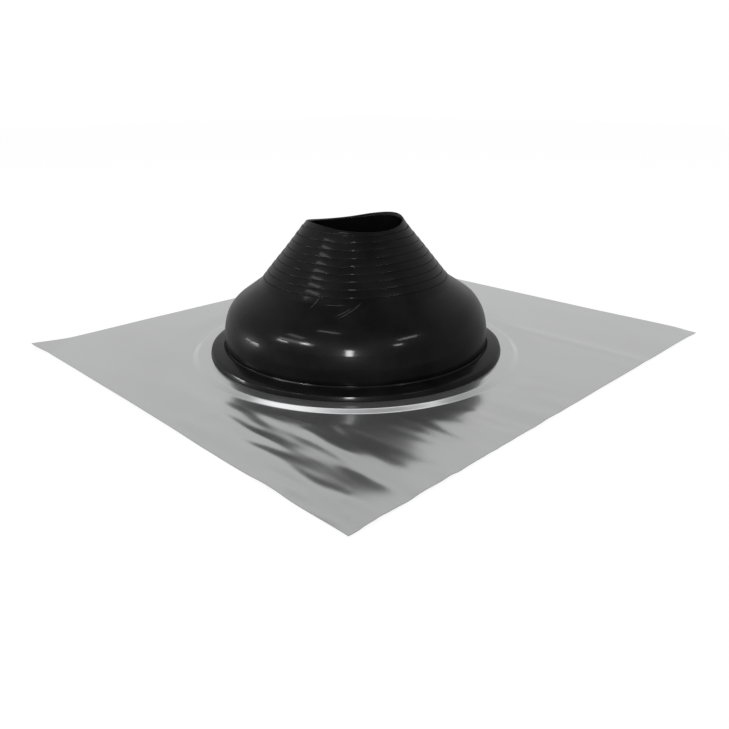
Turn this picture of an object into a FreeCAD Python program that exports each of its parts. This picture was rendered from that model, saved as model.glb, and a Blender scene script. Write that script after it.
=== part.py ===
import FreeCAD, Part
import math
import os

import Sketcher

# Roof pipe flashing: a soft aluminium sheet with a rubber boot moulded on to the edge of its hole.
# Frame: millimetres, +Z up along the pipe, origin on the boot's axis in the plane the sheet lies on.
# +X runs along the sheet's long side, away from the short margin.

SIZES = [
    # the aluminium sheet
    ("sheet_length", 600.0, "long side of the sheet"),
    ("sheet_width", 540.0, "short side of the sheet"),
    ("sheet_thickness", 0.8, "soft rolled aluminium"),
    ("front_margin", 270.0, "boot's axis to the nearer short side"),
    ("plateau_height", 3.0, "how far the ring round the hole is pressed up"),
    ("shoulder_run", 2.0, "horizontal run of the pressed shoulder"),
    ("shoulder_margin", 17.0, "lip's edge to the middle of the pressed shoulder"),
    # the boot's moulded wall
    ("foot_radius", 151.5, "outside of the dome's wall at the sheet"),
    ("wall_draft", 2.0, "how far the dome's wall leans in up to the crown"),
    ("crown_height", 55.5, "height at which wall and crown would meet"),
    ("crown_round", 22.0, "round from the dome's wall into the crown"),
    ("neck_radius", 108.0, "where crown and cone meet"),
    ("neck_height", 85.0, "where crown and cone meet"),
    ("neck_round", 10.0, "hollow round at the foot of the cone"),
    ("cone_slope", 50.7, "cone's side above the horizontal, degrees"),
    ("cone_top", 166.0, "height of the cone before its mouth is cut"),
    ("wall", 3.5, "rubber thickness"),
    # the cutting rings moulded on the cone
    ("ring_first", 4.9, "neck to the lowest ring's edge, along the slope"),
    ("ring_pitch", 8.8, "from ring to ring, along the slope"),
    ("ring_depth", 0.9, "how far a ring's edge stands over its foot"),
    ("ring_ledge", 0.5, "run of the ledge above a ring's edge"),
    ("ring_base", 0.15, "rubber over the cone at a ring's foot"),
    ("ring_root", 1.0, "how deep the rings' rubber starts in the wall"),
    # the foot that holds the sheet
    ("web", 3.5, "dome's wall to the sheet's hole"),
    ("hole_clearance", 0.3, "slot's root to the edge of the sheet's hole"),
    ("lip_width", 18.5, "dome's wall to the edge of the weather lip"),
    ("lip_edge", 0.8, "thickness of the weather lip at its edge"),
    ("bevel_run", 5.5, "width of the bevel round the lip"),
    ("bevel_rise", 3.6, "height of that bevel"),
    ("lip_rise", 2.8, "how much higher again the lip is beside the wall"),
    ("groove_depth", 2.0, "groove between the lip and the foot of the wall"),
    ("groove_reach", 2.6, "dome's wall to the groove's edge on the lip"),
    ("flange_clearance", 1.4, "flange's edge to the start of the shoulder"),
    # the mouth, cut to a wave by hand
    ("mouth_low", 145.2, "lowest point of the mouth"),
    ("mouth_low_at", 11.4, "how far that point lies to the low side"),
    ("mouth_radius", 177.0, "radius of the cut's sweep"),
    ("mouth_turn", -19.0, "turn of the cut about the axis, degrees"),
]
RING_COUNT = 9

# Sizes that follow from the ones above, as expressions on the sheet of sizes.
SLOT_ROOT = "(sizes.foot_radius + sizes.web)"
HOLE_RADIUS = "(sizes.foot_radius + sizes.web + sizes.hole_clearance)"
LIP_RADIUS = "(sizes.foot_radius + sizes.lip_width)"
SHOULDER_RADIUS = "(sizes.foot_radius + sizes.lip_width + sizes.shoulder_margin)"
SHOULDER_INNER = "(" + SHOULDER_RADIUS + " - sizes.shoulder_run / 2)"
SHOULDER_OUTER = "(" + SHOULDER_RADIUS + " + sizes.shoulder_run / 2)"
PRESSED_OUTER = "(" + SHOULDER_OUTER + " + 3 * sizes.sheet_thickness)"
PLATEAU_TOP = "(sizes.plateau_height + sizes.sheet_thickness)"
LIP_EDGE_TOP = "(" + PLATEAU_TOP + " + sizes.lip_edge)"
LIP_TOP = "(" + LIP_EDGE_TOP + " + sizes.bevel_rise)"
LIP_ROOT = "(" + LIP_TOP + " + sizes.lip_rise)"
WALL_MIDDLE = "(sizes.foot_radius - sizes.wall / 2)"
CROWN_CORNER = "(sizes.foot_radius - sizes.wall_draft)"


def add_sizes(doc):
    """The sheet of driving dimensions: one plain number to a row, named by its alias."""
    sheet = doc.addObject("Spreadsheet::Sheet", "sizes")
    for row, (name, size, note) in enumerate(SIZES, start=1):
        sheet.set("A%d" % row, name)
        sheet.set("B%d" % row, str(size))
        sheet.set("C%d" % row, note)
        sheet.setAlias("B%d" % row, name)
    doc.recompute()


def add_body(doc, name):
    body = doc.addObject("PartDesign::Body", name)
    body.Label = name
    body.Placement = FreeCAD.Placement(FreeCAD.Vector(0, 0, 0), FreeCAD.Rotation())
    return body


def origin_part(body, role):
    """The origin plane or axis of a body that has this role."""
    for part in body.Origin.OriginFeatures:
        if part.Role == role:
            return part
    raise ValueError("no origin part " + role)


def add_sketch(body, name, role):
    sketch = body.newObject("Sketcher::SketchObject", name)
    sketch.AttachmentSupport = [(origin_part(body, role), "")]
    sketch.MapMode = "FlatFace"
    return sketch


def number(sketch, expression):
    """The present value of an expression on the sheet of sizes."""
    return float(sketch.evalExpression(expression))


def bind(sketch, index, expression):
    sketch.setExpression("Constraints[%d]" % index, expression)


def pin(sketch, geometry, point, x, y):
    """Places a point by two dimensions from the sketch's origin, each bound to its expression."""
    for kind, axis, expression in (("DistanceX", -2, x), ("DistanceY", -1, y)):
        size = number(sketch, expression)
        if abs(size) < 1e-9:
            sketch.addConstraint(Sketcher.Constraint("PointOnObject", geometry, point, axis))
        elif size > 0:
            row = sketch.addConstraint(Sketcher.Constraint(kind, -1, 1, geometry, point, size))
            bind(sketch, row, expression)
        else:
            row = sketch.addConstraint(Sketcher.Constraint(kind, geometry, point, -1, 1, -size))
            bind(sketch, row, "-(" + expression + ")")


def round_corner(before, corner, after, radius):
    """The arc that rounds a corner, and True if the outline turns left there."""
    back = (before - corner).normalize()
    ahead = (after - corner).normalize()
    half = back.getAngle(ahead) / 2
    centre = corner + (back + ahead).normalize() * (radius / math.sin(half))
    leave = corner + back * (radius / math.tan(half))
    meet = corner + ahead * (radius / math.tan(half))
    left = back.cross(ahead).z < 0
    first, last = (leave, meet) if left else (meet, leave)
    start = math.atan2(first.y - centre.y, first.x - centre.x)
    end = math.atan2(last.y - centre.y, last.x - centre.x)
    circle = Part.Circle(centre, FreeCAD.Vector(0, 0, 1), radius)
    return Part.ArcOfCircle(circle, start, end if end > start else end + 2 * math.pi), left


def outline(sketch, corners):
    """A closed outline of straight sides: each corner is x, y and, if it is rounded, its radius."""
    points = [FreeCAD.Vector(number(sketch, c[0]), number(sketch, c[1]), 0) for c in corners]
    count = len(corners)
    for i in range(count):
        sketch.addGeometry(Part.LineSegment(points[i], points[(i + 1) % count]), False)
    for i, corner in enumerate(corners):
        before = (i - 1) % count
        if len(corner) == 2:
            sketch.addConstraint(Sketcher.Constraint("Coincident", before, 2, i, 1))
            pin(sketch, i, 1, corner[0], corner[1])
            continue
        radius = number(sketch, corner[2])
        arc, left = round_corner(points[before], points[i], points[(i + 1) % count], radius)
        arc = sketch.addGeometry(arc, False)
        sharp = sketch.addGeometry(Part.Point(points[i]), True)
        pin(sketch, sharp, 1, corner[0], corner[1])
        sketch.addConstraint(Sketcher.Constraint("PointOnObject", sharp, 1, before))
        sketch.addConstraint(Sketcher.Constraint("PointOnObject", sharp, 1, i))
        sketch.addConstraint(Sketcher.Constraint("Tangent", before, 2, arc, 1 if left else 2))
        sketch.addConstraint(Sketcher.Constraint("Tangent", i, 1, arc, 2 if left else 1))
        row = sketch.addConstraint(Sketcher.Constraint("Radius", arc, radius))
        bind(sketch, row, corner[2])


def circle(sketch, x, y, radius):
    """A circle whose middle and radius are bound to their expressions."""
    middle = FreeCAD.Vector(number(sketch, x), number(sketch, y), 0)
    size = number(sketch, radius)
    ring = sketch.addGeometry(Part.Circle(middle, FreeCAD.Vector(0, 0, 1), size), False)
    pin(sketch, ring, 3, x, y)
    row = sketch.addConstraint(Sketcher.Constraint("Radius", ring, size))
    bind(sketch, row, radius)


def add_turned(body, kind, name, sketch):
    """A revolution or groove of the sketch, a full turn about the body's Z axis."""
    feature = body.newObject(kind, name)
    feature.Profile = (sketch, [""])
    feature.ReferenceAxis = (origin_part(body, "Z_Axis"), [""])
    feature.Angle = 360
    sketch.Visibility = False
    body.Document.recompute()
    return feature


def flat_faces(shape, height):
    """Names of the level faces at this height."""
    names = []
    for i, face in enumerate(shape.Faces, start=1):
        level = face.BoundBox.ZLength < 1e-6
        if level and abs(face.BoundBox.ZMin - height) < 1e-6:
            names.append("Face%d" % i)
    return names


def make_sheet(doc):
    """Rolled sheet with a ring pressed up round its hole, so that the boot's flange lies under it."""
    body = add_body(doc, "base_sheet")

    blank = add_sketch(body, "blank", "XY_Plane")
    near_x = "(-sizes.front_margin)"
    far_x = "(sizes.sheet_length - sizes.front_margin)"
    half = "sizes.sheet_width / 2"
    outline(blank, [(near_x, "-" + half), (far_x, "-" + half), (far_x, half), (near_x, half)])
    pad = body.newObject("PartDesign::Pad", "rolled_sheet")
    pad.Profile = (blank, [""])
    pad.setExpression("Length", "sizes.sheet_thickness")
    doc.recompute()

    cut = add_sketch(body, "pressed_area", "XY_Plane")
    circle(cut, "0", "0", PRESSED_OUTER)
    opening = body.newObject("PartDesign::Pocket", "pressed_opening")
    opening.Profile = (cut, [""])
    opening.Type = "ThroughAll"
    opening.Midplane = True
    before = pad.Shape.Volume
    doc.recompute()
    if opening.Shape.Volume > before * 0.9:
        raise ValueError("the opening in the sheet is not cut")

    # The shoulder's top line is its bottom line moved square to itself by the sheet's thickness.
    shift = "(sizes.sheet_thickness * tan(atan(sizes.plateau_height / sizes.shoulder_run) / 2))"
    inner_top = "(" + SHOULDER_INNER + " + " + shift + ")"
    outer_top = "(" + SHOULDER_OUTER + " + " + shift + ")"
    joggle = add_sketch(body, "joggle", "XZ_Plane")
    outline(joggle, [
        (PRESSED_OUTER, "0"),
        (PRESSED_OUTER, "sizes.sheet_thickness"),
        (outer_top, "sizes.sheet_thickness"),
        (inner_top, PLATEAU_TOP),
        (HOLE_RADIUS, PLATEAU_TOP),
        (HOLE_RADIUS, "sizes.plateau_height"),
        (SHOULDER_INNER, "sizes.plateau_height"),
        (SHOULDER_OUTER, "0"),
    ])
    add_turned(body, "PartDesign::Revolution", "pressed_ring", joggle)
    return body


def make_boot(doc):
    """One rubber moulding: dome, cone with its cutting rings, and the foot that grips the sheet."""
    body = add_body(doc, "boot")

    # Dome and cone as one turned form, rounded at the crown and the neck, then hollowed.
    form = add_sketch(body, "form", "XZ_Plane")
    tip = "(sizes.neck_radius - (sizes.cone_top - sizes.neck_height) / tan(sizes.cone_slope))"
    outline(form, [
        ("0", "0"),
        ("sizes.foot_radius", "0"),
        (CROWN_CORNER, "sizes.crown_height", "sizes.crown_round"),
        ("sizes.neck_radius", "sizes.neck_height", "sizes.neck_round"),
        (tip, "sizes.cone_top"),
        ("0", "sizes.cone_top"),
    ])
    solid = add_turned(body, "PartDesign::Revolution", "turned_form", form)
    ends = flat_faces(solid.Shape, 0) + flat_faces(solid.Shape, number(solid, "sizes.cone_top"))
    shell = body.newObject("PartDesign::Thickness", "wall_shell")
    shell.Base = (solid, ends)
    shell.Join = "Intersection"
    shell.Reversed = True
    shell.setExpression("Value", "sizes.wall")
    doc.recompute()

    # Foot: flange under the sheet, slot for the hole's edge, weather lip over the sheet.
    foot = add_sketch(body, "foot", "XZ_Plane")
    flange = "(" + SHOULDER_INNER + " - sizes.flange_clearance)"
    outline(foot, [
        (WALL_MIDDLE, "0"),
        (flange, "0"),
        (flange, "sizes.plateau_height"),
        (SLOT_ROOT, "sizes.plateau_height"),
        (SLOT_ROOT, PLATEAU_TOP),
        (LIP_RADIUS, PLATEAU_TOP),
        (LIP_RADIUS, LIP_EDGE_TOP),
        ("(" + LIP_RADIUS + " - sizes.bevel_run)", LIP_TOP),
        (WALL_MIDDLE, LIP_ROOT),
    ])
    add_turned(body, "PartDesign::Revolution", "foot_ring", foot)

    groove = add_sketch(body, "groove", "XZ_Plane")
    outline(groove, [
        ("(sizes.foot_radius - sizes.groove_depth / 2)", LIP_ROOT),
        ("(sizes.foot_radius + sizes.groove_depth / 4)", "(" + LIP_ROOT + " - sizes.groove_depth)"),
        ("(sizes.foot_radius + sizes.groove_reach)", LIP_ROOT),
        ("(sizes.foot_radius + sizes.groove_reach)", "(" + LIP_ROOT + " + sizes.groove_depth)"),
        ("sizes.foot_radius", "(" + LIP_ROOT + " + sizes.groove_depth)"),
    ])
    add_turned(body, "PartDesign::Groove", "lip_groove", groove)

    # Cutting rings: the sketch lies along the cone's side, X up the slope and Y out of the rubber.
    rings = add_sketch(body, "rings", "XZ_Plane")
    rings.AttachmentOffset = FreeCAD.Placement(
        FreeCAD.Vector(0, 0, 0), FreeCAD.Rotation(FreeCAD.Vector(0, 0, 1), 0))
    rings.setExpression("AttachmentOffset.Base.x", "sizes.neck_radius")
    rings.setExpression("AttachmentOffset.Base.y", "sizes.neck_height")
    rings.setExpression("AttachmentOffset.Rotation.Angle", "180 - sizes.cone_slope")
    doc.recompute()
    edge = "-(sizes.ring_base + sizes.ring_depth)"
    corners = [("(sizes.ring_first - sizes.ring_pitch)", "sizes.ring_root")]
    for k in range(RING_COUNT):
        ledge = "(sizes.ring_first + %d * sizes.ring_pitch)" % k
        corners.append(("(" + ledge + " - sizes.ring_pitch)", "-sizes.ring_base"))
        corners.append(("(" + ledge + " - sizes.ring_ledge)", edge))
    last = "(sizes.ring_first + %d * sizes.ring_pitch)" % (RING_COUNT - 1)
    over_mouth = "(" + last + " + 3 * sizes.ring_pitch)"
    corners.append((last, "-sizes.ring_base"))
    corners.append(("(" + last + " + sizes.ring_pitch)", edge))
    corners.append((over_mouth, edge))
    corners.append((over_mouth, "sizes.ring_root"))
    corners.reverse()
    outline(rings, corners)
    add_turned(body, "PartDesign::Revolution", "cutting_rings", rings)

    # Mouth: an arc swept straight through the cone leaves a rim that rises and falls.
    mouth = add_sketch(body, "mouth", "XZ_Plane")
    mouth.AttachmentOffset = FreeCAD.Placement(
        FreeCAD.Vector(0, 0, 0), FreeCAD.Rotation(FreeCAD.Vector(0, 1, 0), 0))
    mouth.setExpression("AttachmentOffset.Rotation.Angle", "sizes.mouth_turn")
    doc.recompute()
    circle(mouth, "(-sizes.mouth_low_at)", "(sizes.mouth_low + sizes.mouth_radius)",
           "sizes.mouth_radius")
    cut = body.newObject("PartDesign::Pocket", "mouth_cut")
    cut.Profile = (mouth, [""])
    cut.Type = "ThroughAll"
    cut.Midplane = True
    before = body.Shape.Volume
    doc.recompute()
    if cut.Shape.Volume > before - 1000:
        raise ValueError("the mouth is not cut")
    return body


def check(doc, bodies):
    for item in doc.Objects:
        if "Invalid" in item.State or "Error" in item.State:
            raise ValueError(item.Name + " did not compute: " + str(item.State))
    for body in bodies:
        if body.Shape.isNull() or not body.Shape.isValid():
            raise ValueError(body.Label + " has no valid solid")
        if len(body.Shape.Solids) != 1:
            raise ValueError(body.Label + " is not one solid")


document = FreeCAD.newDocument("pipe_flashing_boot")
add_sizes(document)
pieces = [make_sheet(document), make_boot(document)]
document.recompute()
check(document, pieces)
os.makedirs("parts", exist_ok=True)
for piece in pieces:
    piece.Shape.exportStep("parts/%s.step" % piece.Label)
    print(piece.Label, round(piece.Shape.Volume), piece.Shape.BoundBox)
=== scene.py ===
import math

import bpy
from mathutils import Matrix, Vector, noise


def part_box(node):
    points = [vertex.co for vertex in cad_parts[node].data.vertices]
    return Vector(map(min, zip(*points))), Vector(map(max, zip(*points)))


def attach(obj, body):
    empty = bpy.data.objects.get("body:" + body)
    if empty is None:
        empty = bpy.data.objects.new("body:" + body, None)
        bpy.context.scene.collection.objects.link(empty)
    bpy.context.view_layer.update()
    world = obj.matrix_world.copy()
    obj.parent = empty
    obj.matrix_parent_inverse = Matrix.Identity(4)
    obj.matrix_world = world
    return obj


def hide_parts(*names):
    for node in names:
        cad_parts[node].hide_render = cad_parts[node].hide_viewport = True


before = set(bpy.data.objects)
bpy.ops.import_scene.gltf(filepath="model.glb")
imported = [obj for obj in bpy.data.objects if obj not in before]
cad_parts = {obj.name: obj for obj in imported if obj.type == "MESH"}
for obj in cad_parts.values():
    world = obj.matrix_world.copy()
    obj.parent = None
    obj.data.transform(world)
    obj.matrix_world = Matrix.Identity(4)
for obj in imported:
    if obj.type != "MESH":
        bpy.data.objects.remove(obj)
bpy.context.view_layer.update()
MM = 0.001


# ---------------------------------------------------------------------------
# Base sheet
# A blank sheared from soft aluminium coil 0.8 mm thick. A press has cut the
# round opening and raised the flat ring round it by 3 mm. It lies loose on the
# roof, a little buckled by handling, with one corner curled up.
# ---------------------------------------------------------------------------
SHEET_THICKNESS = 0.8 * MM
OPENING_RADIUS = 155.3 * MM
PLATEAU_HEIGHT = 3.0 * MM
SHOULDER_RADIUS = 187.0 * MM
SHOULDER_RUN = 5.6 * MM
SHOULDER_BEND = 3.2 * MM
FLAT_FROM = 191.0 * MM
SIDE_STEPS = 120
FLAT_STEPS = 64
LOOSE_FROM = 222.0 * MM
# handling marks: how high each stands, and the spans of X or Y over which it grows to that
LIFT = 1.1 * MM
RIDGE_AT, RIDGE_BOW, RIDGE_MIDDLE = -194.0 * MM, 0.5, -190.0 * MM
RIDGE_PITCH, RIDGE_RISE = 64.0 * MM, 0.75 * MM
RIDGES_X, RIDGES_Y = (-90.0 * MM, -160.0 * MM), (120.0 * MM, -20.0 * MM)
RIDGES_END = (-285.0 * MM, -235.0 * MM)
DENT_RISE, STREAK_RISE = 1.15 * MM, 0.62 * MM
DENTS_X, DENTS_Y = (120.0 * MM, -100.0 * MM), (50.0 * MM, -100.0 * MM)
EDGE_RISE = 1.3 * MM
EDGE_X, EDGE_Y = (-252.0 * MM, -272.0 * MM), (-20.0 * MM, -140.0 * MM)
CREASE_AT, CREASE_WIDTH, CREASE_RISE = 187.0 * MM, 9.0 * MM, 0.5 * MM
CREASE_Y = (20.0 * MM, -60.0 * MM)
BUCKLE_RISE, RIPPLE_RISE = 1.0 * MM, 0.22 * MM
CURL_REACH, CURL_RISE, CURL_LIMIT, CURL_POWER = 44.0 * MM, 3.0 * MM, 1.2, 1.3
CORNER_EAR, EAR_REACH = 4.5 * MM, 40.0 * MM
TIP_BEND, TIP_RISE = (160.0 * MM, 40.0 * MM), 0.7 * MM
TIP_END, TIP_FALL = 30.0 * MM, 1.4 * MM
SHARP_FROM = math.radians(38.0)

sheet_low, sheet_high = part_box("base_sheet")
NEAREST_EDGE = -sheet_low[0]


def smooth(low, high, value):
    """0 at low, 1 at high, whichever is the greater, and an even S between them."""
    t = min(max((value - low) / (high - low), 0.0), 1.0)
    return t * t * (3.0 - 2.0 * t)


def hump(middle, width, value):
    """1 at the middle, fading to almost nothing two widths away."""
    return math.exp(-((value - middle) / width) ** 2)


def buckled(x, y, across, along, seed):
    """Smooth noise, with so many waves in a metre across and along the coil."""
    return noise.noise(Vector((x * across, y * along, seed)))


def sheet_rise(x, y):
    """How far handling has lifted the sheet off the roof at a point."""
    away = smooth(FLAT_FROM, LOOSE_FROM, math.hypot(x, y))
    # ridges left by the coil lie along Y in the front margin and bow a little
    middle = RIDGE_AT + RIDGE_BOW * (y - RIDGE_MIDDLE) ** 2
    uneven = 0.8 + 0.9 * buckled(x, y, 7.0, 7.0, 7.0)
    rise = RIDGE_RISE * math.sin(2.0 * math.pi * (x - middle) / RIDGE_PITCH) * uneven
    rise *= smooth(*RIDGES_X, x) * smooth(*RIDGES_Y, y) * smooth(*RIDGES_END, y)
    # short dents and streaks between them, most in the front quarter
    marks = (DENT_RISE * buckled(x, y, 40.0, 15.0, 5.0)
             + STREAK_RISE * buckled(x, y, 85.0, 22.0, 2.0))
    rise += marks * smooth(*DENTS_Y, y) * smooth(*DENTS_X, x)
    # the shears have turned the front edge up in places
    turned = smooth(-0.1, 0.35, noise.noise(Vector((4.0, y * 19.0, 9.0))))
    rise += EDGE_RISE * turned * smooth(*EDGE_X, x) * smooth(*EDGE_Y, y)
    # one long crease across the far margin, and slow buckles everywhere
    rise += CREASE_RISE * hump(CREASE_AT, CREASE_WIDTH, x) * smooth(*CREASE_Y, y)
    rise += BUCKLE_RISE * buckled(x, y, 6.0, 4.0, 1.0)
    rise += RIPPLE_RISE * buckled(x, y, 22.0, 9.0, 3.0)
    rise = away * (rise + LIFT)
    # the corner between the front and left sides curls up past a soft kink
    curl = max(0.0, (sheet_low[0] - x) + (y - sheet_high[1]) + CURL_REACH) / CURL_REACH
    rise += CURL_RISE * min(curl, CURL_LIMIT) ** CURL_POWER
    # the corner diagonally opposite is bent up and flattened again at its tip
    tip = (sheet_high[0] - x) + (y - sheet_low[1])
    rise += away * TIP_RISE * smooth(*TIP_BEND, tip) - TIP_FALL * smooth(TIP_END, 0.0, tip)
    return max(rise, 0.0)


def sheet_edge(angle):
    """Distance from the opening's middle to the cut edge, in one direction."""
    across, along = math.cos(angle), math.sin(angle)
    reach = []
    if abs(across) > 1e-9:
        reach.append((sheet_high[0] if across > 0 else sheet_low[0]) / across)
    if abs(along) > 1e-9:
        reach.append((sheet_high[1] if along > 0 else sheet_low[1]) / along)
    return min(reach)


def bend(start, corner, end, radius, steps=6):
    """Points of the arc of the given radius that rounds one corner of a section."""
    corner, start, end = Vector(corner), Vector(start), Vector(end)
    back, on = (start - corner).normalized(), (end - corner).normalized()
    half = back.angle(on) / 2.0
    middle = corner + (back + on).normalized() * (radius / math.sin(half))
    first = corner + back * (radius / math.tan(half)) - middle
    last = corner + on * (radius / math.tan(half)) - middle
    sweep = first.angle(last)
    points = []
    for step in range(steps + 1):
        t = step / steps
        arm = (first * math.sin((1 - t) * sweep) + last * math.sin(t * sweep)) / math.sin(sweep)
        points.append(tuple(middle + arm))
    return points


def round_section(corners, steps=6):
    """A section from corners (r, z) or (r, z, radius); those with a radius are rounded."""
    points = []
    for at, corner in enumerate(corners):
        if len(corner) == 2:
            points.append(corner)
            continue
        before, after = corners[at - 1][:2], corners[(at + 1) % len(corners)][:2]
        points += bend(before, corner[:2], after, corner[2], steps)
    return points


def turn(name, section, angles, place):
    """Turns a closed section round +Z; place(r, z, angle) gives each point."""
    count = len(section)
    points = [place(r, z, angle) for angle in angles for r, z in section]
    faces = []
    for at in range(len(angles)):
        here, there = at * count, (at + 1) % len(angles) * count
        for step in range(count):
            on = (step + 1) % count
            faces.append((here + step, there + step, there + on, here + on))
    mesh = bpy.data.meshes.new(name)
    mesh.from_pydata(points, [], faces)
    mesh.validate()
    mesh.shade_smooth()
    mesh.set_sharp_from_angle(angle=SHARP_FROM)
    piece = bpy.data.objects.new(name, mesh)
    bpy.context.scene.collection.objects.link(piece)
    return piece


def sheet_section():
    """The sheet's section from the opening outwards underneath and back along the top."""
    inner, outer = SHOULDER_RADIUS - SHOULDER_RUN / 2, SHOULDER_RADIUS + SHOULDER_RUN / 2
    below = round_section(
        [(r, PLATEAU_HEIGHT) for r in (OPENING_RADIUS, 165 * MM, 174 * MM, 180 * MM)]
        + [(inner, PLATEAU_HEIGHT, SHOULDER_BEND), (outer, 0.0, SHOULDER_BEND), (FLAT_FROM, 0.0)])
    below += [(FLAT_FROM + (NEAREST_EDGE - FLAT_FROM) * step / FLAT_STEPS, 0.0)
              for step in range(1, FLAT_STEPS + 1)]
    above = [(r, z + SHEET_THICKNESS) for r, z in below]
    return below + above[::-1]


def sheet_angles():
    """Directions to evenly spaced points along the four cut edges."""
    corners = [(sheet_low[0], sheet_low[1]), (sheet_high[0], sheet_low[1]),
               (sheet_high[0], sheet_high[1]), (sheet_low[0], sheet_high[1])]
    angles = []
    for side in range(4):
        start, end = corners[side], corners[(side + 1) % 4]
        for step in range(SIDE_STEPS):
            t = step / SIDE_STEPS
            angles.append(math.atan2(start[1] + (end[1] - start[1]) * t,
                                     start[0] + (end[0] - start[0]) * t))
    return angles


def place_on_sheet(r, z, angle):
    """Where a point of the section lies: the flat margin is drawn out to the cut edges."""
    if r > FLAT_FROM:
        share = (r - FLAT_FROM) / (NEAREST_EDGE - FLAT_FROM)
        r = FLAT_FROM + (sheet_edge(angle) - FLAT_FROM) * share
    x, y = r * math.cos(angle), r * math.sin(angle)
    lift = sheet_rise(x, y)
    # the curled corner was sheared a little long
    ear = CORNER_EAR * smooth(-EAR_REACH, 0.0, (sheet_low[0] - x) + (y - sheet_high[1]))
    return (x - ear, y + ear, z + lift)


sheet = turn("flashing_sheet", sheet_section(), sheet_angles(), place_on_sheet)


def add_node(tree, kind, **values):
    """A shader node with its settings and unlinked inputs."""
    made = tree.nodes.new(kind)
    for name, value in values.items():
        if hasattr(made, name):
            setattr(made, name, value)
        else:
            made.inputs[name.replace("_", " ")].default_value = value
    return made


def new_material(name):
    material = bpy.data.materials.new(name)
    material.use_nodes = True
    tree = material.node_tree
    return material, tree, tree.nodes["Principled BSDF"]


def remap(tree, value, span, result, **settings):
    """A socket's values, taken from one span on to another."""
    made = add_node(tree, "ShaderNodeMapRange", **settings)
    made.inputs["From Min"].default_value, made.inputs["From Max"].default_value = span
    made.inputs["To Min"].default_value, made.inputs["To Max"].default_value = result
    tree.links.new(value, made.inputs["Value"])
    return made.outputs["Result"]


def noise_field(tree, vector, scale, detail, roughness):
    """Fractal noise, from 0 to 1, over the points of a vector socket."""
    made = add_node(tree, "ShaderNodeTexNoise", Scale=scale, Detail=detail, Roughness=roughness)
    tree.links.new(vector, made.inputs["Vector"])
    return made.outputs["Fac"]


def stretched(tree, vector, scale):
    """A vector socket scaled by different amounts along X, Y and Z."""
    made = add_node(tree, "ShaderNodeMapping", Scale=scale)
    tree.links.new(vector, made.inputs["Vector"])
    return made.outputs["Vector"]


def calculated(tree, kind, operation, *sources, value=None):
    """A math or vector math node on one or two sockets, or on a socket and a value."""
    made = add_node(tree, kind, operation=operation)
    for at, source in enumerate(sources):
        tree.links.new(source, made.inputs[at])
    if value is not None:
        made.inputs[1].default_value = value
    return made


def blend(tree, factor, low, high):
    """A colour between two, each given as a colour or a socket."""
    made = add_node(tree, "ShaderNodeMix", data_type="RGBA")
    tree.links.new(factor, made.inputs["Factor"])
    for name, source in (("A", low), ("B", high)):
        if isinstance(source, tuple):
            made.inputs[name].default_value = (*source, 1.0)
        else:
            tree.links.new(source, made.inputs[name])
    return made.outputs["Result"]


def add_relief(tree, shader, height, strength, distance):
    """Fine relief from a height socket."""
    relief = add_node(tree, "ShaderNodeBump", Strength=strength, Distance=distance)
    tree.links.new(height, relief.inputs["Height"])
    tree.links.new(relief.outputs["Normal"], shader.inputs["Normal"])


def aluminium():
    """Mill-finish sheet: fine rolling lines along Y, soft smudges, a lighter ring that is partly
    burnish and partly a painted highlight.
    """
    material, tree, shader = new_material("mill_finish_aluminium")
    where = add_node(tree, "ShaderNodeTexCoord").outputs["Object"]
    grain = noise_field(tree, stretched(tree, where, (900.0, 12.0, 900.0)), 1.0, 3.0, 0.6)
    smudge = noise_field(tree, stretched(tree, where, (14.0, 5.0, 14.0)), 1.0, 5.0, 0.55)
    dulled = remap(tree, smudge, (0.3, 0.7), (0.0, 1.0))
    colour = blend(tree, dulled, (0.455, 0.458, 0.462), (0.485, 0.488, 0.492))
    # the bend of the raised ring is painted lighter: partly burnish from the press, partly a
    # painted highlight that brightens the band it reflects
    flat = stretched(tree, where, (1.0, 1.0, 0.0))
    reach = calculated(tree, "ShaderNodeVectorMath", "LENGTH", flat).outputs["Value"]
    off = calculated(tree, "ShaderNodeMath", "SUBTRACT", reach, value=SHOULDER_RADIUS)
    gap = calculated(tree, "ShaderNodeMath", "ABSOLUTE", off.outputs["Value"])
    burnish_and_highlight = remap(tree, gap.outputs["Value"], (2.0 * MM, 4.0 * MM), (1.0, 0.0),
                      interpolation_type="SMOOTHSTEP")
    colour = blend(tree, burnish_and_highlight, colour, (0.50, 0.503, 0.508))
    tree.links.new(colour, shader.inputs["Base Color"])
    rough = remap(tree, smudge, (0.3, 0.7), (0.15, 0.23))
    tree.links.new(rough, shader.inputs["Roughness"])
    add_relief(tree, shader, grain, 0.12, 0.03 * MM)
    shader.inputs["Metallic"].default_value = 0.86
    shader.inputs["Specular IOR Level"].default_value = 0.2
    return material


sheet.data.materials.append(aluminium())
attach(sheet, "root")
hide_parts("base_sheet")


# ---------------------------------------------------------------------------
# Boot
# One compression moulding in black weatherproof rubber: a wide dome with a
# stepped cone on it, whose rings guide the knife that opens it to the pipe. Its
# two-sided foot grips the rim of the opening, with a lip on the pressed ring.
# ---------------------------------------------------------------------------
WALL = 3.5 * MM
FOOT_RADIUS = 151.5 * MM
WALL_WIDEST, WALL_TOP, WALL_BOW, WALL_STEPS = 22.0 * MM, 43.5 * MM, 75.0 * MM, 10
CROWN = (145.0 * MM, 58.65 * MM)
CROWN_ROUND = 44.0 * MM
NECK = (110.0 * MM, 82.55 * MM)
NECK_ROUND = 10.0 * MM
CONE_SLOPE = math.radians(50.7)
RING_COUNT = 9
RING_FIRST = 8.1 * MM
RING_PITCH = 8.8 * MM
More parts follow.
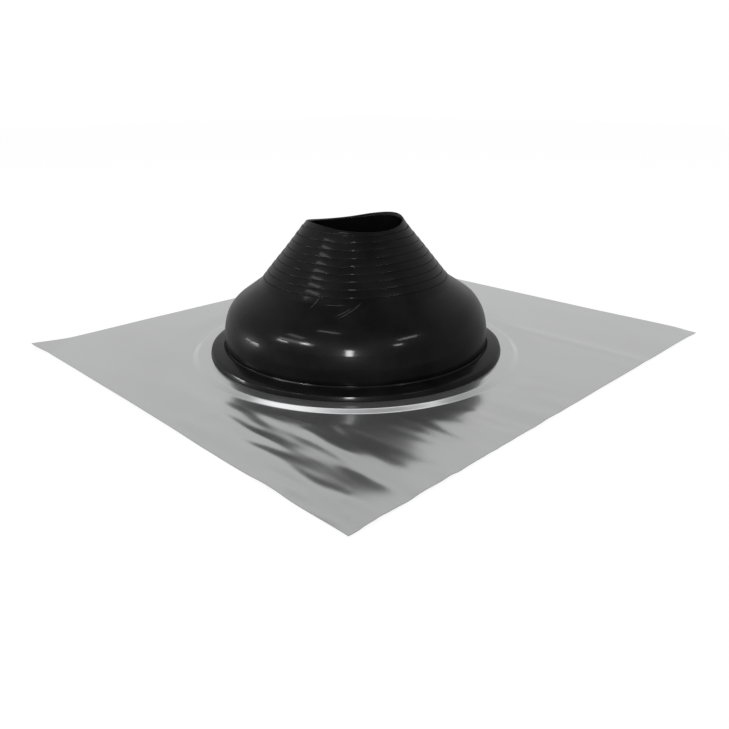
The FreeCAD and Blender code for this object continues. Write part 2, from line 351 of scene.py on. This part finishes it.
# one ring, from below its edge to past its groove: up the cone, off its face, any rounding
RING_SHAPE = [
    (-3.6 * MM, -0.05 * MM), (-1.2 * MM, 0.02 * MM), (0.0, 0.05 * MM, 0.3 * MM),
    (0.4 * MM, -1.05 * MM, 0.22 * MM), (1.1 * MM, -0.46 * MM, 0.5 * MM), (3.0 * MM, -0.26 * MM),
]
# the mouth: its mean height, how its cut leans and waves, how far it sits to one side, how
# the last ring is pulled along with the cut, and which faces the knife has left
MOUTH_HEIGHT = 149.0 * MM
MOUTH_LEAN, MOUTH_LEAN_AT = 1.6 * MM, math.radians(-56.0)
MOUTH_WAVE, MOUTH_WAVE_AT = 4.2 * MM, math.radians(-19.0)
MOUTH_SHIFT = 0.6 * MM
PULL_REACH, PULL_POWER = 11.0 * MM, 1.5
CUT_REACH, CUT_FACING = 14.0 * MM, 0.70
# the lip: its edge, bevel and groove, and how it draws in, waves and heaves round its edge
LIP_RADIUS = 170.0 * MM
LIP_EDGE = 4.8 * MM
BEVEL_RUN, BEVEL_RISE = 5.6 * MM, 1.2 * MM
LIP_RISE = 2.0 * MM
GROOVE_REACH, GROOVE_DEPTH = 2.6 * MM, 2.0 * MM
LIP_INNER = 157.0 * MM
LIP_DRAW, LIP_DRAW_TO, LIP_NEAR = 5.0 * MM, 0.90, math.radians(226.0)
LIP_WAVE, LIP_HEAVE = 0.5 * MM, 0.35 * MM
FLANGE_RADIUS = 184.6 * MM
SLOT_ROOT = 155.0 * MM
# the set of the soft rubber: rings that ride up, a crown fuller on one side, unevenness
RIDE, RIDE_AT = 1.44 * MM, math.radians(190.0)
RIDE_FROM, RIDE_TO, RIDE_END = 118.0 * MM, 146.0 * MM, 143.0 * MM
FULL_SIDE, FULLNESS = math.radians(-45.0), 1.7 * MM
FULL_HEIGHT, FULL_WIDTH = 71.0 * MM, 12.0 * MM
WOBBLE = 0.35 * MM
BOOT_TURNS = 288

PLATEAU_TOP = PLATEAU_HEIGHT + SHEET_THICKNESS
CONE_IN = (math.cos(CONE_SLOPE), math.sin(CONE_SLOPE))


def on_cone(along, proud=0.0):
    """A point of the cone, a distance up its side from the neck and off its face."""
    return (NECK[0] - along * CONE_IN[0] + proud * CONE_IN[1],
            NECK[1] + along * CONE_IN[1] + proud * CONE_IN[0])


def boot_section():
    """The boot's closed section, from under the flange outwards and up, then back inside."""
    cone_length = (MOUTH_HEIGHT - NECK[1]) / CONE_IN[1]
    bevel_top = PLATEAU_TOP + LIP_EDGE + BEVEL_RISE
    wall_foot = bevel_top + LIP_RISE
    outside = [
        (FLANGE_RADIUS, 0.0), (FLANGE_RADIUS, PLATEAU_HEIGHT), (SLOT_ROOT, PLATEAU_HEIGHT),
        (SLOT_ROOT, PLATEAU_TOP), (LIP_RADIUS - 0.4 * MM, PLATEAU_TOP),
        (LIP_RADIUS, PLATEAU_TOP + 0.5 * MM, 0.3 * MM),
        (LIP_RADIUS - 1.5 * MM, PLATEAU_TOP + LIP_EDGE, 1.2 * MM),
        (LIP_RADIUS - BEVEL_RUN, bevel_top, 2.0 * MM),
        (FOOT_RADIUS + 7.0 * MM, wall_foot - 0.8 * MM),
        (FOOT_RADIUS + GROOVE_REACH, wall_foot + 0.3 * MM, 0.35 * MM),
        (FOOT_RADIUS + 1.5 * MM, wall_foot - GROOVE_DEPTH, 0.5 * MM),
        (FOOT_RADIUS + 0.7 * MM, wall_foot - 0.5 * MM, 0.4 * MM),
        (FOOT_RADIUS - 0.1 * MM, wall_foot + 0.6 * MM, 0.5 * MM),
    ]
    for step in range(WALL_STEPS):
        z = wall_foot + 2.5 * MM + (WALL_TOP - wall_foot - 2.5 * MM) * step / (WALL_STEPS - 1)
        lean = max(z - WALL_WIDEST, 0.0) ** 2 / (2.0 * WALL_BOW)
        outside.append((FOOT_RADIUS + 0.9 * MM - lean, z))
    outside += [(CROWN[0], CROWN[1], CROWN_ROUND), (NECK[0], NECK[1], NECK_ROUND)]
    for ring in range(RING_COUNT):
        edge = RING_FIRST + ring * RING_PITCH
        outside += [(*on_cone(edge + along, proud), *rounding)
                    for along, proud, *rounding in RING_SHAPE]
    rim_out, rim_in = on_cone(cone_length), on_cone(cone_length - 0.6 * MM, -WALL)
    outside += [on_cone(cone_length - 2.0 * MM), (*rim_out, 0.35 * MM), (*rim_in, 0.35 * MM)]
    inside = [on_cone(share * cone_length, -WALL) for share in (0.95, 0.9, 0.8, 0.6, 0.4, 0.2)]
    inside += [(NECK[0] - 1.2 * MM, NECK[1] - WALL, NECK_ROUND + WALL),
               (CROWN[0] - WALL, CROWN[1] - 2.6 * MM, CROWN_ROUND - WALL),
               (FOOT_RADIUS - WALL, 8 * MM), (FOOT_RADIUS - WALL, 0.0)]
    return round_section(outside + inside, steps=6)


def mouth_height(angle):
    """Height of the hand-cut rim all round."""
    return (MOUTH_HEIGHT + MOUTH_LEAN * math.cos(angle - MOUTH_LEAN_AT)
            + MOUTH_WAVE * math.cos(2.0 * (angle - MOUTH_WAVE_AT)))


def place_on_boot(r, z, angle):
    """Where a point of the section lies once the soft rubber has taken its own set."""
    # the rim was cut by hand, and the last ring follows it a little
    pull_from = MOUTH_HEIGHT - PULL_REACH
    if z > pull_from:
        share = min((z - pull_from) / (MOUTH_HEIGHT - pull_from), 1.0) ** PULL_POWER
        lift = (mouth_height(angle) - MOUTH_HEIGHT) * share
        z += lift
        r -= lift * CONE_IN[0] / CONE_IN[1]
    # the cone's upper rings ride up on one side
    ride = RIDE * math.cos(angle - RIDE_AT) * smooth(RIDE_FROM, RIDE_TO, z)
    z += ride * (1.0 - smooth(RIDE_END, MOUTH_HEIGHT, z))
    # the crown stands fuller on one side and flatter on the other
    r += FULLNESS * math.cos(angle - FULL_SIDE) * hump(FULL_HEIGHT, FULL_WIDTH, z)
    # the lip draws in round the far half, and its edge waves a little
    if r > LIP_INNER and PLATEAU_TOP - 0.1 * MM < z < CROWN[1] / 3:
        far = smooth(0.0, LIP_DRAW_TO, -math.cos(angle - LIP_NEAR))
        share = (r - LIP_INNER) / (LIP_RADIUS - LIP_INNER)
        r -= share * (LIP_DRAW * far + LIP_WAVE * math.sin(5.0 * angle + 1.0))
        heave = LIP_HEAVE * (1.0 + math.sin(3.0 * angle))
        z += share * heave * smooth(PLATEAU_TOP, 8 * MM, z)
    x, y = r * math.cos(angle), r * math.sin(angle)
    shift = MOUTH_SHIFT * smooth(NECK[1], MOUTH_HEIGHT, z)
    x, y = x + shift * math.cos(FULL_SIDE), y + shift * math.sin(FULL_SIDE)
    # slight unevenness of the moulding
    if z > PLATEAU_TOP + 1 * MM:
        wobble = noise.noise(Vector((x * 22.0, y * 22.0, z * 30.0))) * WOBBLE
        x, y = x + wobble * math.cos(angle), y + wobble * math.sin(angle)
    return (x, y, z)


boot = turn("rubber_boot", boot_section(),
            [2.0 * math.pi * step / BOOT_TURNS for step in range(BOOT_TURNS)], place_on_boot)


# each rub mark: middle of its sphere, that sphere's radius, its place and its length
RUB_WIDTH = 0.35 * MM
RUB_MARKS = [
    ((-0.084, -0.0152, 0.109), 71.3 * MM, (-0.084, -0.078, 0.079), 34 * MM),
    ((-0.080, -0.0100, 0.112), 74.5 * MM, (-0.090, -0.076, 0.078), 22 * MM),
    ((-0.110, 0.020, 0.110), 70.0 * MM, (-0.101, -0.045, 0.084), 18 * MM),
    ((-0.020, -0.080, 0.140), 95.0 * MM, (-0.045, -0.118, 0.058), 26 * MM),
]


def rub_marks(tree, where):
    """Thin arcs, each where the boot meets a sphere's surface, faded towards its ends."""
    marks = None
    for middle, radius, place, length in RUB_MARKS:
        arm = calculated(tree, "ShaderNodeVectorMath", "DISTANCE", where, value=middle)
        gap = calculated(tree, "ShaderNodeMath", "COMPARE", arm.outputs["Value"], value=radius)
        gap.inputs[2].default_value = RUB_WIDTH / 2
        near = calculated(tree, "ShaderNodeVectorMath", "DISTANCE", where, value=place)
        fade = remap(tree, near.outputs["Value"], (length * 0.25, length / 2), (1.0, 0.0),
                     interpolation_type="SMOOTHSTEP")
        mark = calculated(tree, "ShaderNodeMath", "MULTIPLY", gap.outputs["Value"], fade)
        mark = mark.outputs["Value"]
        if marks is not None:
            mark = calculated(tree, "ShaderNodeMath", "MAXIMUM", marks, mark).outputs["Value"]
        marks = mark
    return marks


def rubber():
    """Glossy moulded rubber with a fine uneven skin, a grey bloom and rub marks."""
    material, tree, shader = new_material("moulded_black_rubber")
    where = add_node(tree, "ShaderNodeTexCoord").outputs["Object"]
    film = noise_field(tree, where, 26.0, 6.0, 0.6)
    bloom = remap(tree, film, (0.35, 0.75), (0.0, 1.0))
    colour = blend(tree, bloom, (0.0014, 0.0014, 0.0016), (0.0038, 0.0038, 0.0040))
    colour = blend(tree, rub_marks(tree, where), colour, (0.040, 0.040, 0.042))
    tree.links.new(colour, shader.inputs["Base Color"])
    gloss = remap(tree, film, (0.3, 0.7), (0.30, 0.40))
    tree.links.new(gloss, shader.inputs["Roughness"])
    add_relief(tree, shader, noise_field(tree, where, 420.0, 3.0, 0.6), 0.10, 0.05 * MM)
    shader.inputs["Specular IOR Level"].default_value = 0.028
    shader.inputs["Coat Weight"].default_value = 0.125
    shader.inputs["Coat Roughness"].default_value = 0.11
    return material


def cut_rubber():
    """The knife-cut rim of the mouth, duller than the moulded skin."""
    material, tree, shader = new_material("knife_cut_rubber")
    where = add_node(tree, "ShaderNodeTexCoord").outputs["Object"]
    strokes = noise_field(tree, where, 160.0, 4.0, 0.6)
    colour = blend(tree, strokes, (0.0015, 0.0015, 0.0017), (0.0045, 0.0045, 0.0048))
    tree.links.new(colour, shader.inputs["Base Color"])
    add_relief(tree, shader, strokes, 0.4, 0.2 * MM)
    shader.inputs["Roughness"].default_value = 0.5
    shader.inputs["Specular IOR Level"].default_value = 0.05
    return material


boot.data.materials.append(rubber())
boot.data.materials.append(cut_rubber())
for polygon in boot.data.polygons:
    if polygon.normal.z > CUT_FACING and polygon.center.z > MOUTH_HEIGHT - CUT_REACH:
        polygon.material_index = 1
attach(boot, "root")
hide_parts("boot")


# ---------------------------------------------------------------------------
# Floor and studio
# A plain pale floor, a white surround that stands for the backdrop, a large soft
# lamp for the sheet, and small catch lights whose shapes show in the rubber.
# ---------------------------------------------------------------------------
FLOOR_HALF = 6.0
FLOOR_DROP = 0.3 * MM
GLOW_SEEN, GLOW_TO_CAMERA = 0.25, 0.55
CAMERA_BEARING = 226.0
LOOK_AT = Vector((0.0, 0.0, 0.07))
CAMERA_PLACE = (-0.5403, -0.5587, 0.2831)
CAMERA_TILT, CAMERA_YAW, CAMERA_ROLL = 68.44, -44.77, -0.24

floor_mesh = bpy.data.meshes.new("studio_floor")
floor_mesh.from_pydata(
    [(-FLOOR_HALF, -FLOOR_HALF, 0), (FLOOR_HALF, -FLOOR_HALF, 0),
     (FLOOR_HALF, FLOOR_HALF, 0), (-FLOOR_HALF, FLOOR_HALF, 0)], [], [(0, 1, 2, 3)])
floor = bpy.data.objects.new("studio_floor", floor_mesh)
floor.location.z = -FLOOR_DROP
bpy.context.scene.collection.objects.link(floor)


def seen_ray(tree):
    """The light path node, and 1 for rays to the camera or through gloss or glass."""
    path = add_node(tree, "ShaderNodeLightPath")
    first = calculated(tree, "ShaderNodeMath", "MAXIMUM",
                       path.outputs["Is Camera Ray"], path.outputs["Is Glossy Ray"])
    both = calculated(tree, "ShaderNodeMath", "MAXIMUM",
                      first.outputs["Value"], path.outputs["Is Transmission Ray"])
    return path, both.outputs["Value"]


def pale_floor():
    """A matt floor that keeps the shadow, and glows in part to the camera and in gloss."""
    material, tree, shader = new_material("pale_floor")
    link = tree.links.new
    shader.inputs["Base Color"].default_value = (0.82, 0.82, 0.82, 1.0)
    shader.inputs["Roughness"].default_value = 0.9
    shader.inputs["Specular IOR Level"].default_value = 0.0
    white = add_node(tree, "ShaderNodeEmission", Strength=1.12)
    path, seen = seen_ray(tree)
    direct = calculated(tree, "ShaderNodeMath", "MULTIPLY",
                        path.outputs["Is Camera Ray"], value=GLOW_TO_CAMERA)
    part = calculated(tree, "ShaderNodeMath", "MULTIPLY_ADD", seen, value=GLOW_SEEN)
    link(direct.outputs["Value"], part.inputs[2])
    # inside the boot the floor is only lit through the mouth
    where = add_node(tree, "ShaderNodeTexCoord").outputs["Object"]
    reach = calculated(tree, "ShaderNodeVectorMath", "LENGTH", where).outputs["Value"]
    outside = calculated(tree, "ShaderNodeMath", "GREATER_THAN", reach, value=FOOT_RADIUS)
    glow = calculated(tree, "ShaderNodeMath", "MULTIPLY",
                      part.outputs["Value"], outside.outputs["Value"])
    mix = add_node(tree, "ShaderNodeMixShader")
    link(glow.outputs["Value"], mix.inputs["Fac"])
    link(shader.outputs["BSDF"], mix.inputs[1])
    link(white.outputs["Emission"], mix.inputs[2])
    link(mix.outputs["Shader"], tree.nodes["Material Output"].inputs["Surface"])
    return material


floor.data.materials.append(pale_floor())


def studio_world():
    """White to the camera; in reflections white behind the object and dimmer overhead."""
    world = bpy.data.worlds.new("studio")
    world.use_nodes = True
    tree = world.node_tree
    link = tree.links.new
    tree.nodes.clear()
    output = add_node(tree, "ShaderNodeOutputWorld")
    lit = add_node(tree, "ShaderNodeBackground", Color=(1.0, 1.0, 1.0, 1.0), Strength=0.58)
    shown = add_node(tree, "ShaderNodeBackground", Color=(1.0, 1.0, 1.0, 1.0))
    way = add_node(tree, "ShaderNodeSeparateXYZ")
    link(add_node(tree, "ShaderNodeTexCoord").outputs["Generated"], way.inputs["Vector"])
    upward = remap(tree, way.outputs["Z"], (0.55, 0.90), (0.88, 0.42),
                   interpolation_type="SMOOTHSTEP")
    side = calculated(tree, "ShaderNodeMath", "ADD", way.outputs["X"], way.outputs["Y"])
    front = remap(tree, side.outputs["Value"], (-0.9, 0.3), (0.72, 1.0),
                  interpolation_type="SMOOTHSTEP")
    level = calculated(tree, "ShaderNodeMath", "MULTIPLY", upward, front)
    path, seen = seen_ray(tree)
    strength = calculated(tree, "ShaderNodeMath", "MAXIMUM",
                          path.outputs["Is Camera Ray"], level.outputs["Value"])
    link(strength.outputs["Value"], shown.inputs["Strength"])
    mix = add_node(tree, "ShaderNodeMixShader")
    link(seen, mix.inputs["Fac"])
    link(lit.outputs["Background"], mix.inputs[1])
    link(shown.outputs["Background"], mix.inputs[2])
    link(mix.outputs["Shader"], output.inputs["Surface"])
    return world


bpy.context.scene.world = studio_world()


glossy_pieces = bpy.data.collections.new("glossy_pieces")
glossy_pieces.objects.link(boot)
pale_pieces = bpy.data.collections.new("pale_pieces")
pale_pieces.objects.link(sheet)
pale_pieces.objects.link(floor)


def softbox(name, falls_on, bearing, height, distance, width, tall, watts):
    """A flat lamp that faces the object, for one set of pieces.

    The bearing is counted from the camera's, with minus to its left; it and the
    height are in degrees.
    """
    lamp = bpy.data.lights.new(name, "AREA")
    lamp.shape, lamp.size, lamp.size_y, lamp.energy = "RECTANGLE", width, tall, watts
    holder = bpy.data.objects.new(name, lamp)
    bpy.context.scene.collection.objects.link(holder)
    turn_to, up = math.radians(CAMERA_BEARING + bearing), math.radians(height)
    way = Vector((math.cos(turn_to) * math.cos(up), math.sin(turn_to) * math.cos(up), math.sin(up)))
    holder.location = LOOK_AT + way * distance
    holder.rotation_mode = "QUATERNION"
    holder.rotation_quaternion = (-way).to_track_quat("-Z", "Y")
    holder.light_linking.receiver_collection = falls_on


softbox("key_softbox", pale_pieces, 190.0, 72.0, 1.9, 2.1, 0.6, 7.1)
softbox("left_softbox", glossy_pieces, -55.0, 30.0, 1.3, 0.74, 0.10, 3.2)
softbox("right_softbox", glossy_pieces, 49.0, 38.0, 1.3, 0.34, 0.07, 1.8)
softbox("ring_softbox", glossy_pieces, -63.0, 42.0, 1.3, 0.34, 0.10, 1.0)
softbox("overhead_strip", glossy_pieces, -44.0, 66.0, 1.3, 0.36, 0.06, 1.1)
softbox("catch_front", glossy_pieces, -5.0, 15.5, 1.2, 0.10, 0.30, 13.0)
softbox("catch_left", glossy_pieces, -45.0, 30.0, 1.2, 0.16, 0.07, 4.2)
softbox("catch_far_left", glossy_pieces, -66.0, 24.0, 1.2, 0.20, 0.06, 2.6)
softbox("catch_window", glossy_pieces, -91.0, 0.5, 1.2, 0.30, 0.10, 5.0)
softbox("catch_right", glossy_pieces, 36.0, 27.0, 1.2, 0.12, 0.05, 1.2)

camera_data = bpy.data.cameras.new("camera")
camera_data.sensor_width = 36.0
camera_data.lens = 34.12
camera = bpy.data.objects.new("camera", camera_data)
camera.location = CAMERA_PLACE
camera.rotation_euler = (math.radians(CAMERA_TILT), 0.0, math.radians(CAMERA_YAW))
bpy.context.scene.collection.objects.link(camera)
bpy.context.scene.camera = camera
bpy.context.view_layer.update()
camera.rotation_euler.rotate_axis("Z", math.radians(CAMERA_ROLL))
bpy.context.scene.view_settings.view_transform = "Standard"
